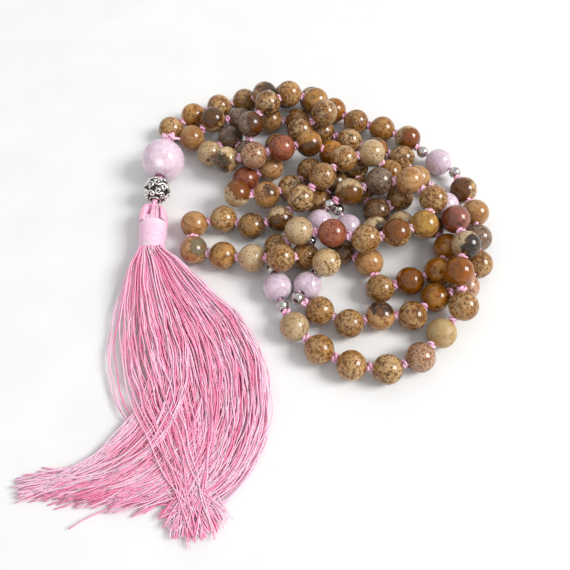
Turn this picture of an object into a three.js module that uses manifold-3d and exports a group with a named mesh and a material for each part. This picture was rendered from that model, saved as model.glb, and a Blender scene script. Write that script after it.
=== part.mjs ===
// A hand-knotted mala: 102 small stone beads and six rose quartz markers on one knotted cord, a large
// guru bead, a filigree bead and a cord tassel, lying in a loose heap. Millimetres, +Z up, surface z = 0.
import * as THREE from "three";
import { mergeVertices } from "three/addons/utils/BufferGeometryUtils.js";
import Module from "manifold-3d";

const wasm = await Module();
wasm.setup();

// Driving dimensions
const BEAD_R = 4; // stone bead
const PITCH = 9; // centre to centre of two stone beads, a knot between them
const PITCH_SLACK = 0.3; // how far a hand-tied pitch strays
const CORD_R = 0.42;
const KNOT_R = 1.2; // half a knot's length
const END_KNOT_R = 0.7; // the knot at the end of a run, clear of the next run
const MARKER_R = 4; // rose quartz marker
const SPACER_R = 1.75; // silver spacer
const GURU_R = 6.5;
const FILIGREE_R = 4;
const GAP = 0.3; // air between two pieces that touch on the real object
const BORE_R = 0.75; // bore of markers and spacers
const WIDE_BORE_R = 1.3; // bore of the guru and the filigree bead
const SPACER_PITCH = MARKER_R + SPACER_R + GAP; // marker centre to spacer centre
const SPACER_LINK = 6.9; // stone bead centre to spacer centre
const SETTLE_PASSES = 800;

// Guru, filigree bead and tassel, laid out along one line
const GURU_AT = new THREE.Vector3(-36.2, 25.5, 6.5);
const FILIGREE_AT = new THREE.Vector3(-37.4, 14.5, 6);
const PIVOT_AT = new THREE.Vector3(-37.8, 9.4, 5.4); // where the tassel's loop turns
const WRAP_FROM = new THREE.Vector3(-38, 4.8, 4.4); // the tassel's neck, up to the head
const WRAP_TO = new THREE.Vector3(-37.8, -4.6, 4.4); // and down to the fringe
const WRAP_R = 4.1;
const HEAD_LENGTH = 3.4;

// The strand's route, as stretches of stone beads between markers. A stretch has its number of beads and
// the points that its beads pass, from the guru's top round the heap and back.
const v = (x, y, z) => new THREE.Vector3(x, y, z);
const STRETCHES = [
  {
    name: "back", // along the back edge of the heap
    beads: 11,
    route: [
      v(-34.8, 40, 4), v(-29, 45, 4), v(-20.3, 48.2, 4), v(-10.4, 49.8, 4), v(-3.5, 48, 9),
      v(4.5, 53.3, 4), v(11, 50.5, 4), v(16.3, 46, 4), v(24, 41.5, 4), v(32.3, 37.6, 4), v(40, 32.7, 4),
    ],
  },
  {
    name: "right_edge", // down the right side and back along the inner row
    beads: 10,
    route: [
      v(53.8, 13.3, 4), v(55.6, 5, 4), v(55.7, -3, 4), v(54.3, -11.5, 4), v(49.5, -18.6, 4),
      v(40.5, -23.8, 4), v(32.5, -27.6, 4), v(23.8, -27.8, 4), v(15.6, -28.6, 4), v(8.6, -26, 4),
    ],
  },
  {
    name: "inner_loop", // a closed loop on the right, under the top layer
    beads: 10,
    route: [
      v(11.6, -10.2, 4), v(17, -6.4, 4), v(22.6, -10, 4), v(25.6, -17.6, 4), v(33.6, -18.6, 4),
      v(41.4, -15, 4), v(45, -8, 4), v(41, -0.8, 4), v(33.4, 2.8, 4), v(25.6, 2.7, 4),
    ],
  },
  {
    name: "heart", // through the middle of the heap
    beads: 41,
    route: [
      v(12.4, 8.4, 4), v(15.8, 15.6, 4), v(10.5, 21.3, 4), v(4.6, 16.9, 4), v(-2.8, 12.5, 6),
      v(-10.2, 11, 8), v(-12.8, 18.6, 4), v(-4.3, 21.8, 4), v(-2, 30.8, 4), v(6, 34, 8),
      v(13.4, 37.6, 11), v(11.6, 45.4, 9), v(3.2, 47, 11), v(-5.2, 42, 12), v(-8.8, 35.6, 11),
      v(-11.5, 30.6, 5), v(-15.8, 37, 4), v(-21.4, 31.6, 4), v(-17.4, 24.6, 6.5), v(-9.4, 21.6, 9),
      v(-0.4, 24.6, 10), v(8.6, 27.4, 9), v(16.6, 26.2, 6), v(22.4, 19.6, 4), v(24, 12.6, 4),
      v(27.5, 5, 4), v(33.6, 9.4, 4), v(34, 18, 5), v(27.6, 21.8, 10), v(19.2, 20.2, 11),
      v(13.4, 15.2, 11), v(7.2, 8.4, 9), v(-0.4, 4.2, 5), v(-8.7, 2.2, 4), v(-17, 4.6, 4),
      v(-25.2, 3.8, 4), v(-26.2, -4.6, 4), v(-17.6, -7.6, 4), v(-8.8, -7.3, 4), v(-0.4, -10.4, 8),
      v(5.5, -8, 4),
    ],
  },
  {
    name: "top_layer", // the uppermost stretch, across the inner loop
    beads: 10,
    route: [
      v(20.4, 9.4, 8), v(28.6, 12, 11), v(37, 10.2, 11), v(42.6, 3.6, 11), v(39, -3.4, 11),
      v(31.2, -5.6, 11), v(23.2, -8.6, 11), v(14.6, -7, 11), v(6, -5.6, 11), v(-0.6, -4.8, 5),
    ],
  },
  {
    name: "front_edge", // the front row, then up and over the right edge
    beads: 10,
    route: [
      v(3.4, -31.8, 4), v(9.2, -38.8, 4), v(17.4, -42.6, 4), v(26.1, -43.5, 4), v(34.6, -40.4, 4),
      v(41, -33.6, 4), v(45.6, -25.8, 6), v(47, -17.2, 11), v(49.6, -9.4, 10), v(48.2, -1.4, 9),
    ],
  },
  {
    name: "return", // back along the inside of the back edge to the guru
    beads: 10,
    route: [
      v(42.5, 16.8, 4), v(36.9, 23.9, 4), v(29.4, 29.3, 4), v(21.2, 33, 4), v(13.5, 37, 4),
      v(5.7, 42, 4), v(-3.8, 43, 4), v(-13.4, 43, 4), v(-21.1, 40, 6), v(-28.3, 35.8, 5),
    ],
  },
];

// The markers between the stretches: the rose quartz centre and a point that its bore aims at
const MARKERS = [
  { at: v(48.2, 23.4, 4), aim: v(51.4, 19, 4) },
  { at: v(6, -18.2, 4), aim: v(8, -12.8, 4) },
  { at: v(18, 0.2, 4), aim: v(16.2, 4.6, 5.5) },
  { at: v(10.8, 2, 4.5), aim: v(14, 6, 7.5) },
  { at: v(-2.2, -19.6, 4), aim: v(-0.4, -25.2, 4) },
  { at: v(47.6, 7.6, 4), aim: v(45.6, 12.4, 4) },
];

// One entry of the strand: a ball with its radius, its kind, and the distance to the next ball's centre
function ball(at, radius, kind, link) {
  return { at: at.clone(), home: at.clone(), radius, kind, link };
}

// The whole strand as balls in order, evenly spread along each stretch's curve.
function layStrand() {
  const strand = [];
  STRETCHES.forEach((stretch, index) => {
    const curve = new THREE.CatmullRomCurve3(stretch.route, false, "centripetal");
    for (let i = 0; i < stretch.beads; i += 1) {
      const last = i === stretch.beads - 1;
      strand.push({
        ...ball(curve.getPointAt(i / (stretch.beads - 1)), BEAD_R, "stone", last ? SPACER_LINK : PITCH),
        stretch: stretch.name,
      });
    }
    if (index < MARKERS.length) {
      const { at, aim } = MARKERS[index];
      const step = aim.clone().sub(at).setLength(SPACER_PITCH);
      strand.push(ball(at.clone().sub(step), SPACER_R, "spacer", SPACER_PITCH));
      strand.push(ball(at, MARKER_R, "marker", SPACER_PITCH));
      strand.push(ball(at.clone().add(step), SPACER_R, "spacer", SPACER_LINK));
    }
  });
  return strand;
}

// Moves two balls apart, or together, until their centres are the wanted distance from each other.
function setDistance(a, b, wanted, share) {
  const between = b.at.clone().sub(a.at);
  const change = (0.5 * share * (between.length() - wanted)) / between.length();
  a.at.addScaledVector(between, change);
  b.at.addScaledVector(between, -change);
}

// Brings a marker and its two spacers into one line, evenly spaced.
function straighten(first, marker, second) {
  const off = first.at.clone().add(second.at).multiplyScalar(0.5).sub(marker.at);
  marker.at.addScaledVector(off, 0.5);
  first.at.addScaledVector(off, -0.5);
  second.at.addScaledVector(off, -0.5);
  setDistance(first, second, 2 * SPACER_PITCH, 1);
}

// Keeps a ball out of a fixed ball.
function keepOff(moving, centre, distance) {
  const away = moving.at.clone().sub(centre);
  if (away.length() < distance) moving.at.copy(centre).add(away.setLength(distance));
}

// Lets the strand lie: knots hold their pitch, nothing passes through anything, and each ball rests on the
// surface or on what is under it.
function settle(strand) {
  const knot = new THREE.Vector3();
  for (let pass = 0; pass < SETTLE_PASSES; pass += 1) {
    const loose = Math.max(0, 1 - (1.25 * pass) / SETTLE_PASSES);
    for (const one of strand) {
      one.at.lerp(one.home, 0.05 * loose);
      one.at.z -= 0.02 * loose;
    }
    for (let i = 0; i + 1 < strand.length; i += 1) {
      const [a, b] = [strand[i], strand[i + 1]];
      const slack = a.link === PITCH ? PITCH_SLACK : 0;
      const now = a.at.distanceTo(b.at);
      setDistance(a, b, THREE.MathUtils.clamp(now, a.link - slack, a.link + slack), 0.9);
      if (b.kind === "marker") straighten(a, b, strand[i + 2]);
    }
    for (let i = 0; i < strand.length; i += 1) {
      for (let j = i + 2; j < strand.length; j += 1) {
        const [a, b] = [strand[i], strand[j]];
        const clear = a.radius + b.radius + GAP;
        if (a.at.distanceToSquared(b.at) < clear * clear) setDistance(a, b, clear, 1);
      }
    }
    for (let i = 0; i + 1 < strand.length; i += 1) {
      const [a, b] = [strand[i], strand[i + 1]];
      const length = a.at.distanceTo(b.at);
      knot.lerpVectors(a.at, b.at, (0.5 * (length + a.radius - b.radius)) / length);
      for (const other of strand) {
        if (other === a || other === b) continue;
        keepOff(other, knot, other.radius + KNOT_R + GAP);
      }
    }
    for (const one of strand) {
      keepOff(one, GURU_AT, one.radius + GURU_R + GAP);
      one.at.z = Math.max(one.at.z, one.radius);
    }
  }
  return strand;
}

// Materials
function finish(color, roughness, metalness = 0) {
  return new THREE.MeshStandardMaterial({ color, roughness, metalness });
}
const STONE = finish(0xb8905f, 0.25);
const ROSE_QUARTZ = finish(0xe4cad8, 0.2);
const SILVER = finish(0xc9c9c6, 0.25, 1);
const OXIDISED_SILVER = finish(0x8d8c88, 0.35, 1);
const CORD_PINK = finish(0xeab6d2, 0.6);
const THREAD_PINK = finish(0xee8caa, 0.45);

// A geometry as a manifold-3d solid, and a solid as a geometry
function solid(geometry) {
  const bare = geometry.clone();
  bare.deleteAttribute("normal");
  bare.deleteAttribute("uv");
  const merged = mergeVertices(bare, 1e-4);
  return new wasm.Manifold(
    new wasm.Mesh({
      numProp: 3,
      vertProperties: merged.attributes.position.array,
      triVerts: new Uint32Array(merged.index.array),
    }),
  );
}

function geometryOf(manifold) {
  const mesh = manifold.getMesh();
  const geometry = new THREE.BufferGeometry();
  geometry.setAttribute("position", new THREE.BufferAttribute(mesh.vertProperties, 3));
  geometry.setIndex(new THREE.BufferAttribute(mesh.triVerts, 1));
  const faceted = geometry.toNonIndexed();
  faceted.computeVertexNormals();
  return faceted;
}

// Turns a geometry's Y axis to a direction and moves it to a place.
const Y_AXIS = new THREE.Vector3(0, 1, 0);
function placed(geometry, at, direction) {
  const turn = new THREE.Quaternion().setFromUnitVectors(Y_AXIS, direction.clone().normalize());
  return geometry.applyQuaternion(turn).translate(at.x, at.y, at.z);
}

// A ball with no bore: its corners are all on the sphere, its poles on the Y axis
function ballGeometry(radius) {
  const rings = 5;
  const profile = [];
  for (let i = 0; i <= rings; i += 1) {
    const angle = (Math.PI * i) / rings;
    const across = i % rings === 0 ? 0 : radius * Math.sin(angle);
    profile.push(new THREE.Vector2(across, -radius * Math.cos(angle)));
  }
  return new THREE.LatheGeometry(profile, 9);
}

// A ball with a bore along its Y axis
function boredBallGeometry(radius, bore, rings, around) {
  const start = Math.asin(bore / radius);
  const profile = [];
  for (let i = 0; i <= rings; i += 1) {
    const angle = start + ((Math.PI - 2 * start) * i) / rings;
    profile.push(new THREE.Vector2(radius * Math.sin(angle), -radius * Math.cos(angle)));
  }
  profile.push(profile[0].clone());
  return new THREE.LatheGeometry(profile, around);
}

function rod(from, to, radius) {
  const along = to.clone().sub(from);
  const middle = from.clone().add(to).multiplyScalar(0.5);
  return solid(placed(new THREE.CylinderGeometry(radius, radius, along.length(), 6), middle, along));
}

function knotAt(at, radius, along) {
  return solid(placed(new THREE.OctahedronGeometry(radius), at, along));
}

function union(pieces) {
  return pieces.reduce((whole, piece) => whole.add(piece));
}

const mala = new THREE.Group();
mala.name = "mala";

// Adds a named piece whose geometry is already in place. Its turning centre and axis ride along.
function addPiece(name, geometry, material, at, axis) {
  const mesh = new THREE.Mesh(geometry, material);
  mesh.name = name;
  mesh.userData = { at: at.clone(), axis: axis.clone().normalize() };
  mala.add(mesh);
}

const strand = settle(layStrand());

// The cord's way from a stretch's last bead through the marker that follows
function markerCord(index) {
  const [bead, first, marker, second] = strand.slice(index, index + 4);
  const axis = second.at.clone().sub(first.at).normalize();
  const end = SPACER_PITCH + SPACER_R;
  const entry = marker.at.clone().addScaledVector(axis, -end - 0.75);
  const exit = marker.at.clone().addScaledVector(axis, end + 0.1);
  return [rod(bead.at, entry, CORD_R), rod(entry, exit, CORD_R)];
}

// A short knot on a bead's skin, towards a neighbour that belongs to the next piece
function endKnot(bead, towards) {
  const along = towards.at.clone().sub(bead.at).normalize();
  return knotAt(bead.at.clone().addScaledVector(along, bead.radius), END_KNOT_R, along);
}

// One run of stone beads, knotted on their cord: the beads from first to last in the strand
function addRun(name, first, last) {
  const pieces = [];
  for (let i = first; i <= last; i += 1) {
    const before = strand[Math.max(i - 1, 0)];
    const after = strand[Math.min(i + 1, strand.length - 1)];
    const along = after.at.clone().sub(before.at);
    pieces.push(solid(placed(ballGeometry(BEAD_R), strand[i].at, along)));
    if (i === last) break;
    const between = strand[i].at.clone().add(after.at).multiplyScalar(0.5);
    pieces.push(knotAt(between, KNOT_R, after.at.clone().sub(strand[i].at)));
  }
  if (last + 1 < strand.length) pieces.push(endKnot(strand[last], strand[last + 1]));
  if (first > 0 && strand[first - 1].kind === "spacer") pieces.push(endKnot(strand[first], strand[first - 1]));
  if (last + 1 < strand.length && strand[last + 1].kind === "spacer") pieces.push(...markerCord(last));
  const middle = strand[Math.floor((first + last) / 2)].at;
  addPiece(name, geometryOf(union(pieces)), STONE, middle, Y_AXIS);
}

// Cuts a stretch into runs of three beads, the last of up to four.
function addStretch(stretch) {
  const start = strand.findIndex((one) => one.stretch === stretch.name);
  const runs = Math.ceil((stretch.beads - 1) / 3);
  for (let run = 0; run < runs; run += 1) {
    const first = start + 3 * run;
    const last = run === runs - 1 ? start + stretch.beads - 1 : first + 2;
    addRun(`${stretch.name}_beads_${String(run + 1).padStart(2, "0")}`, first, last);
  }
}
STRETCHES.forEach(addStretch);

// The markers, each a rose quartz bead between two silver spacers
function addMarkers() {
  let count = 0;
  strand.forEach((one, i) => {
    if (one.kind !== "marker") return;
    count += 1;
    const axis = strand[i + 1].at.clone().sub(strand[i - 1].at).normalize();
    const bead = placed(boredBallGeometry(MARKER_R, BORE_R, 5, 10), one.at, axis);
    addPiece(`rose_quartz_${count}`, bead, ROSE_QUARTZ, one.at, axis);
    for (const [side, label] of [[-1, "a"], [1, "b"]]) {
      const at = one.at.clone().addScaledVector(axis, side * SPACER_PITCH);
      const spacer = placed(boredBallGeometry(SPACER_R, BORE_R, 4, 8), at, axis);
      addPiece(`silver_spacer_${count}${label}`, spacer, SILVER, at, axis);
    }
  });
}
addMarkers();

// Guru and filigree bead on the joined cord ends
const guruAxis = GURU_AT.clone().sub(FILIGREE_AT).normalize();
const filigreeAxis = FILIGREE_AT.clone().sub(PIVOT_AT).normalize();
addPiece(
  "guru_bead",
  placed(boredBallGeometry(GURU_R, WIDE_BORE_R, 7, 14), GURU_AT, guruAxis),
  ROSE_QUARTZ, GURU_AT, guruAxis,
);
addPiece(
  "filigree_bead",
  placed(boredBallGeometry(FILIGREE_R, WIDE_BORE_R, 6, 12), FILIGREE_AT, guruAxis),
  OXIDISED_SILVER, FILIGREE_AT, guruAxis,
);

// The two cord ends meet in knots on the guru's top, and go down through both beads to the tassel's loop.
function addTasselCord() {
  const knotTop = GURU_AT.clone().addScaledVector(guruAxis, GURU_R + GAP + KNOT_R);
  const end = FILIGREE_AT.clone().addScaledVector(guruAxis, -FILIGREE_R - 0.2);
  const cord = union([
    knotAt(knotTop, KNOT_R, guruAxis),
    knotAt(knotTop.clone().add(v(1.2, 0.3, 0.2)), KNOT_R, guruAxis),
    rod(knotTop, end, 2 * CORD_R),
  ]);
  addPiece("guru_cord_and_knots", geometryOf(cord), CORD_PINK, knotTop, guruAxis);
  const loop = placed(new THREE.SphereGeometry(0.6, 8, 6), PIVOT_AT, guruAxis);
  addPiece("tassel_loop", loop, CORD_PINK, PIVOT_AT, new THREE.Vector3(0, 0, 1));
}
addTasselCord();

// The tassel: a head of folded thread, a wound neck and a fringe that lies flat
function addTassel() {
  const down = WRAP_TO.clone().sub(WRAP_FROM);
  const headTop = WRAP_FROM.clone().addScaledVector(down.clone().normalize(), -HEAD_LENGTH - GAP);
  const headProfile = [[0, 0], [1.4, 0.1], [3.1, 1.2], [3.9, 2.6], [3.7, HEAD_LENGTH], [0, HEAD_LENGTH]];
  const head = new THREE.LatheGeometry(headProfile.map(([x, y]) => new THREE.Vector2(x, y)), 12);
  addPiece("tassel_head", placed(head, headTop, down), THREAD_PINK, headTop, new THREE.Vector3(1, 0, 0));
  const wrap = new THREE.CylinderGeometry(WRAP_R, WRAP_R, down.length(), 16);
  const middle = WRAP_FROM.clone().add(WRAP_TO).multiplyScalar(0.5);
  addPiece("tassel_neck_wrap", placed(wrap, middle, down), CORD_PINK, middle, new THREE.Vector3(1, 0, 0));

  const outline = new THREE.Shape();
  outline.moveTo(-41.3, -5);
  outline.splineThru([
    new THREE.Vector2(-43.5, -22), new THREE.Vector2(-43.8, -40), new THREE.Vector2(-41.5, -54),
    new THREE.Vector2(-50, -61.5), new THREE.Vector2(-66, -66.5),
  ]);
  outline.lineTo(-65, -69);
  outline.splineThru([
    new THREE.Vector2(-52, -74), new THREE.Vector2(-40, -79), new THREE.Vector2(-26, -80),
    new THREE.Vector2(-13, -74), new THREE.Vector2(-8, -60), new THREE.Vector2(-8.2, -44),
    new THREE.Vector2(-15, -29), new THREE.Vector2(-25, -17), new THREE.Vector2(-34.3, -5),
  ]);
  outline.lineTo(-41.3, -5);
  const plan = new THREE.ExtrudeGeometry(outline, { depth: 10, bevelEnabled: false, curveSegments: 5 });
  const side = new THREE.Shape();
  side.moveTo(0, 0);
  side.lineTo(0, 8.2);
  side.quadraticCurveTo(-14, 7, -24, 4.8);
  side.lineTo(-62, 3.6);
  side.lineTo(-80, 2);
  side.lineTo(-80, 0);
  side.lineTo(0, 0);
  const swept = new THREE.ExtrudeGeometry(side, { depth: 80, bevelEnabled: false, curveSegments: 4 });
  swept.applyMatrix4(new THREE.Matrix4().makeBasis(v(0, 1, 0), v(0, 0, 1), v(1, 0, 0)));
  swept.translate(-75, -4.9, 0);
  const fringe = geometryOf(solid(plan).intersect(solid(swept)));
  addPiece("tassel_fringe", fringe, THREAD_PINK, WRAP_TO, new THREE.Vector3(1, 0, 0));
}
addTassel();

// The origin is the middle of the base.
const box = new THREE.Box3().setFromObject(mala);
mala.position.set(-(box.min.x + box.max.x) / 2, -(box.min.y + box.max.y) / 2, 0);
mala.updateMatrixWorld(true);

export default mala;
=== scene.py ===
"""A hand-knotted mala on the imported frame: stone beads and knots on one cord, rose quartz markers between
silver spacers, a guru bead, a filigree bead and a cord tassel. Blender 4.5, metres."""

import itertools
import math
import random
import typing

import bpy
import numpy as np
from mathutils import Matrix, Vector


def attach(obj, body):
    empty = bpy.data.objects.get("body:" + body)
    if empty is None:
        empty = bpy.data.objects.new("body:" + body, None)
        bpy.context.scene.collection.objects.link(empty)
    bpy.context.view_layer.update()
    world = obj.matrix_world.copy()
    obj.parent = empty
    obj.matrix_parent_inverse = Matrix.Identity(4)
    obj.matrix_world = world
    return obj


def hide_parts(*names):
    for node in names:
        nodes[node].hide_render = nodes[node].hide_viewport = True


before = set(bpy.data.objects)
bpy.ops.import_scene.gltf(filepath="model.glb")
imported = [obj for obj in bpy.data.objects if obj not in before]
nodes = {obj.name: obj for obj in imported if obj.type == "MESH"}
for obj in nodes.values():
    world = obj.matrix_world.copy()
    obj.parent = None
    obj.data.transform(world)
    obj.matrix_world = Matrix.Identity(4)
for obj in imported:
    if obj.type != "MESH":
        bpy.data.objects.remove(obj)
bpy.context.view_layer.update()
rng = random.Random(108)

MM = 0.001
BEAD_R = 4.0 * MM
BEAD_BORE = 0.5 * MM
CORD_R = 0.42 * MM
GURU_R = 6.5 * MM
FILIGREE_R = 4.0 * MM
SPACER_R = 1.75 * MM
MARKER_BORE = 0.75 * MM
WIDE_BORE = 1.3 * MM
PITCH = 9.0 * MM  # from one stone to the next
SPACER_LINK = 6.9 * MM  # from a spacer to the next stone
KNOT_LIFT = 1.5 * MM  # from the guru's skin to the middle of the knot on it


# ------------------------------ places from the frame
def corners_and_faces(node):
    """A CAD node's corners in millimetres, each once, and its faces as their indices."""
    mesh = nodes[node].data
    mesh.calc_loop_triangles()
    co = np.empty(3 * len(mesh.vertices))
    mesh.vertices.foreach_get("co", co)
    tri = np.empty(3 * len(mesh.loop_triangles), dtype=np.int32)
    mesh.loop_triangles.foreach_get("vertices", tri)
    corners, index = np.unique(np.round(co.reshape(-1, 3) / MM, 3), axis=0, return_inverse=True)
    return corners, index.reshape(-1)[tri.reshape(-1, 3)]


def middle_of(node):
    corners, _ = corners_and_faces(node)
    return Vector(corners.mean(0)) * MM


LEAST_CORNERS = 6  # that a sphere is fitted to
RADIUS_ERROR = 0.02  # millimetres, from a bead's radius
SAME_BEAD = 0.5  # millimetres between two fits to one bead


def balls_in(node):
    """The centres of the stone beads in a run.

    A bead's corner and its neighbours lie on one sphere. So a sphere is fitted to each corner with its
    neighbours, and it is a bead's if its radius is.
    """
    corners, faces = corners_and_faces(node)
    rings = [{i} for i in range(len(corners))]
    for face in faces:
        for corner in face:
            rings[corner].update(face)
    centres = []
    for ring in rings:
        if len(ring) < LEAST_CORNERS:
            continue
        p = corners[list(ring)]
        (*centre, k), _, rank, _ = np.linalg.lstsq(
            np.c_[2 * p, np.ones(len(p))], (p**2).sum(1), rcond=None
        )
        centre = np.array(centre)
        square = k + centre @ centre
        if rank < 4 or square < 0 or abs(math.sqrt(square) - BEAD_R / MM) > RADIUS_ERROR:
            continue
        if all(np.linalg.norm(centre - c) > SAME_BEAD for c in centres):
            centres.append(centre)
    return [Vector(c) * MM for c in centres]


def in_order(found, before, link):
    """Beads in the order that the cord takes them, from the bead before."""

    def misfit(order):
        steps = [before, *order]
        wanted = [link] + [PITCH] * (len(order) - 1)
        return sum(abs((b - a).length - w) for a, b, w in zip(steps, steps[1:], wanted))

    return list(min(itertools.permutations(found), key=misfit))


GURU = middle_of("guru_bead")
FILIGREE = middle_of("filigree_bead")
GURU_AXIS = (GURU - FILIGREE).normalized()
SHIFT = GURU - Vector((-36.2, 25.5, 6.5)) * MM


def at(x, y, z):
    """A point of the layout that the CAD is drawn in, in millimetres, as a place in the frame."""
    return Vector((x, y, z)) * MM + SHIFT


KNOT_TOP = GURU + GURU_AXIS * (GURU_R + KNOT_LIFT)
STRETCH_NAMES = ["back", "right_edge", "inner_loop", "heart", "top_layer", "front_edge", "return"]


def read_strand():
    """Every bead of the strand in order: kind, name of its CAD node and centre."""
    strand = []
    before = KNOT_TOP
    for number, stretch in enumerate(STRETCH_NAMES):
        first = True
        for run in sorted(n for n in nodes if n.startswith(stretch + "_beads_")):
            link = SPACER_LINK if first and number else PITCH
            for centre in in_order(balls_in(run), before, link):
                strand.append({"kind": "stone", "node": run, "stretch": stretch, "at": centre})
                before = centre
            first = False
        if number < len(STRETCH_NAMES) - 1:
            for kind, node in (
                ("spacer", f"silver_spacer_{number + 1}a"),
                ("marker", f"rose_quartz_{number + 1}"),
                ("spacer", f"silver_spacer_{number + 1}b"),
            ):
                strand.append({"kind": kind, "node": node, "stretch": None, "at": middle_of(node)})
                before = strand[-1]["at"]
    for i, bead in enumerate(strand):
        ahead = strand[i + 1]["at"] if i + 1 < len(strand) else KNOT_TOP
        behind = strand[i - 1]["at"] if i else KNOT_TOP
        bead["along"] = (ahead - behind).normalized()
    for a, m, b in zip(strand, strand[1:], strand[2:]):
        if m["kind"] == "marker":
            a["along"] = m["along"] = b["along"] = (b["at"] - a["at"]).normalized()
    return strand


STRAND = read_strand()

# ------------------------------ camera
TILT = math.radians(61.88)  # below the horizon
ROLL = math.radians(1.66)
LENS, SENSOR = 38.84, 36  # millimetres
EYE = at(0, -98, 154.24)


def make_camera():
    data = bpy.data.cameras.new("camera")
    data.lens = LENS
    data.sensor_width = SENSOR
    data.clip_start = 0.01
    camera = bpy.data.objects.new("camera", data)
    bpy.context.scene.collection.objects.link(camera)
    forward = Vector((0, math.cos(TILT), -math.sin(TILT)))
    level = Vector((1, 0, 0))
    down = Vector((0, -math.sin(TILT), -math.cos(TILT)))
    right = math.cos(ROLL) * level + math.sin(ROLL) * down
    up = math.sin(ROLL) * level - math.cos(ROLL) * down
    turn = Matrix((right, up, -forward)).transposed().to_4x4()
    camera.matrix_world = Matrix.Translation(EYE) @ turn
    bpy.context.scene.camera = camera
    return right, up


VIEW_RIGHT, VIEW_UP = make_camera()


# ------------------------------ meshes
def link_piece(name, data):
    piece = bpy.data.objects.new(name, data)
    bpy.context.scene.collection.objects.link(piece)
    return piece


ATTRIBUTE_KINDS = {1: ("FLOAT", "value"), 3: ("FLOAT_VECTOR", "vector"), 4: ("FLOAT_COLOR", "color")}


def mesh_piece(name, parts, materials):
    """One object from parts, each a dict of verts and faces.

    A part may also have uv, a pair per corner; look, the number of its material; and attributes per vertex.
    """
    verts, faces, looks, corners = [], [], [], []
    offset = 0
    for part in parts:
        verts.append(np.asarray(part["verts"], dtype=float))
        faces.extend(tuple(corner + offset for corner in face) for face in part["faces"])
        looks.extend([part.get("look", 0)] * len(part["faces"]))
        if "uv" in part:
            corners.append(np.asarray(part["uv"], dtype=float).reshape(-1, 2))
        offset += len(part["verts"])
    mesh = bpy.data.meshes.new(name)
    mesh.from_pydata(np.concatenate(verts), [], faces)
    for material in materials:
        mesh.materials.append(material)
    mesh.polygons.foreach_set("material_index", looks)
    mesh.polygons.foreach_set("use_smooth", [True] * len(faces))
    if corners:
        layer = mesh.uv_layers.new(name="UVMap")
        layer.data.foreach_set("uv", np.concatenate(corners).ravel())
    for key in parts[0].get("attributes", {}):
        values = np.concatenate([np.asarray(part["attributes"][key], dtype=float) for part in parts])
        kind, field = ATTRIBUTE_KINDS[1 if values.ndim == 1 else values.shape[1]]
        mesh.attributes.new(key, kind, "POINT").data.foreach_set(field, values.ravel())
    mesh.update()
    return link_piece(name, mesh)


def turned_to(direction, spin=0.0):
    """A rotation that takes +Z to a direction, after a spin about +Z."""
    turn = Vector((0, 0, 1)).rotation_difference(direction).to_matrix()
    return np.array(turn @ Matrix.Rotation(spin, 3, "Z"))


def lathe(profile, around):
    """A closed ring of a closed profile of (radius, height) pairs, listed with the solid on its left."""
    angles = np.arange(around) * 2 * math.pi / around
    verts = [(r * math.cos(a), r * math.sin(a), z) for r, z in profile for a in angles]
    rows = len(profile)
    faces = []
    for i in range(rows):
        for j in range(around):
            nearer, further = i * around, (i + 1) % rows * around
            after = (j + 1) % around
            faces.append((nearer + j, nearer + after, further + after, further + j))
    return np.array(verts), faces


def drilled_profile(radius, bore, lip, rings):
    """A ball's profile with a bore and rounded mouths."""
    start = math.asin((bore + lip) / radius)
    arc = [start + (math.pi - 2 * start) * i / rings for i in range(rings + 1)]
    outside = [(radius * math.sin(a), -radius * math.cos(a)) for a in arc]
    mouth = radius * math.cos(start)
    entry = [(bore, -mouth + 1.3 * lip), (bore + 0.3 * lip, -mouth + 0.3 * lip)]
    return entry + outside + [(r, -z) for r, z in reversed(entry)]


def tube(path, radius, sides=6, closed=False):
    """A tube along points in metres, with U round it and V along it in millimetres."""
    path = np.asarray(path, dtype=float)
    count = len(path)
    if closed:
        tangents = np.roll(path, -1, 0) - np.roll(path, 1, 0)
    else:
        tangents = np.gradient(path, axis=0)
    tangents /= np.linalg.norm(tangents, axis=1)[:, None]
    normal = np.cross(tangents[0], (0.31, 0.17, 0.93))
    frames = []
    for t in tangents:
        normal = normal - t * (normal @ t)
        normal /= np.linalg.norm(normal)
        frames.append((normal, np.cross(t, normal)))
    radii = np.broadcast_to(radius, (count,))
    turn = np.arange(sides) * 2 * math.pi / sides
    verts = np.concatenate(
        [
            p + r * (np.outer(np.cos(turn), n) + np.outer(np.sin(turn), b))
            for p, r, (n, b) in zip(path, radii, frames)
        ]
    )
    lengths = np.r_[0, np.cumsum(np.linalg.norm(np.diff(path, axis=0), axis=1))] / MM
    faces, uv = [], []
    for i in range(count if closed else count - 1):
        after = (i + 1) % count
        for j in range(sides):
            k = (j + 1) % sides
            faces.append((i * sides + j, i * sides + k, after * sides + k, after * sides + j))
            low = lengths[i]
            high = lengths[after] if after else 2 * lengths[i] - lengths[i - 1]
            u, w = j / sides, (j + 1) / sides
            uv += [(u, low), (w, low), (w, high), (u, high)]
    if not closed:
        for first, flip in ((0, True), ((count - 1) * sides, False)):
            ring = [first + j for j in range(sides)]
            if sides == 4:
                faces.append(tuple(reversed(ring)) if flip else tuple(ring))
                uv += [(0, 0)] * 4
            else:
                for a, b in zip(ring[1:], ring[2:]):
                    faces.append((first, b, a) if flip else (first, a, b))
                    uv += [(0, 0)] * 3
    return {"verts": verts, "faces": faces, "uv": uv}


def toned(part, tone):
    """A thread's part with its tone, which the thread materials read to set its colour between mid and pale.
    """
    part["attributes"] = {"tone": np.full(len(part["verts"]), tone)}
    return part


# ------------------------------ materials
def rgb(red, green, blue):
    """A colour given as on a screen, from 0 to 255, as the linear colour that a shader takes."""

    def linear(c):
        c /= 255
        return c / 12.92 if c <= 0.04045 else ((c + 0.055) / 1.055) ** 2.4

    return (linear(red), linear(green), linear(blue), 1.0)


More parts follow.
